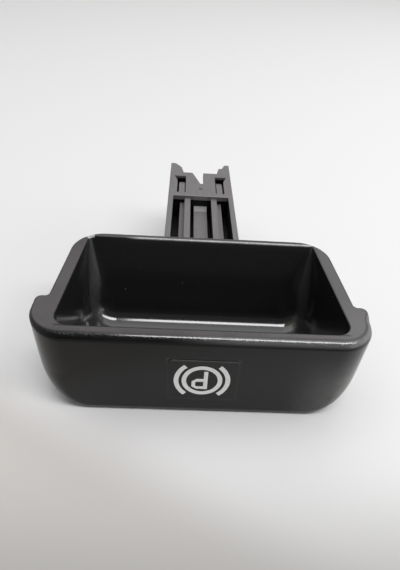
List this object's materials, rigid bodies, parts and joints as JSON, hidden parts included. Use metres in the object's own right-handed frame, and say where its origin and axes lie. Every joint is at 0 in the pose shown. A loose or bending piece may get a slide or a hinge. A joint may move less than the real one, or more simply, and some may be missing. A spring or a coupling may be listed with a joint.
{
  "type": "parking brake release handle",
  "caption": "Black plastic pull handle for releasing a parking brake: a scoop with a deep finger pocket, and a slotted stem that holds the end of the release cable.",
  "frame": {"origin": "centre of the bounding box at the closed side, on the table the handle rests on", "axes": "+Z out of the finger pocket, +Y from the face with the sign toward the tips of the stem, +X to the right when facing the sign"},
  "size_m": [0.0964, 0.1196, 0.0295],
  "materials": {
    "black_plastic": "satin outside, glossy in the pocket, matt on the stem",
    "sign_print": "printed, matt"
  },
  "bodies": {
    "root": {"release_handle": "black_plastic"}
  },
  "joints": []
}
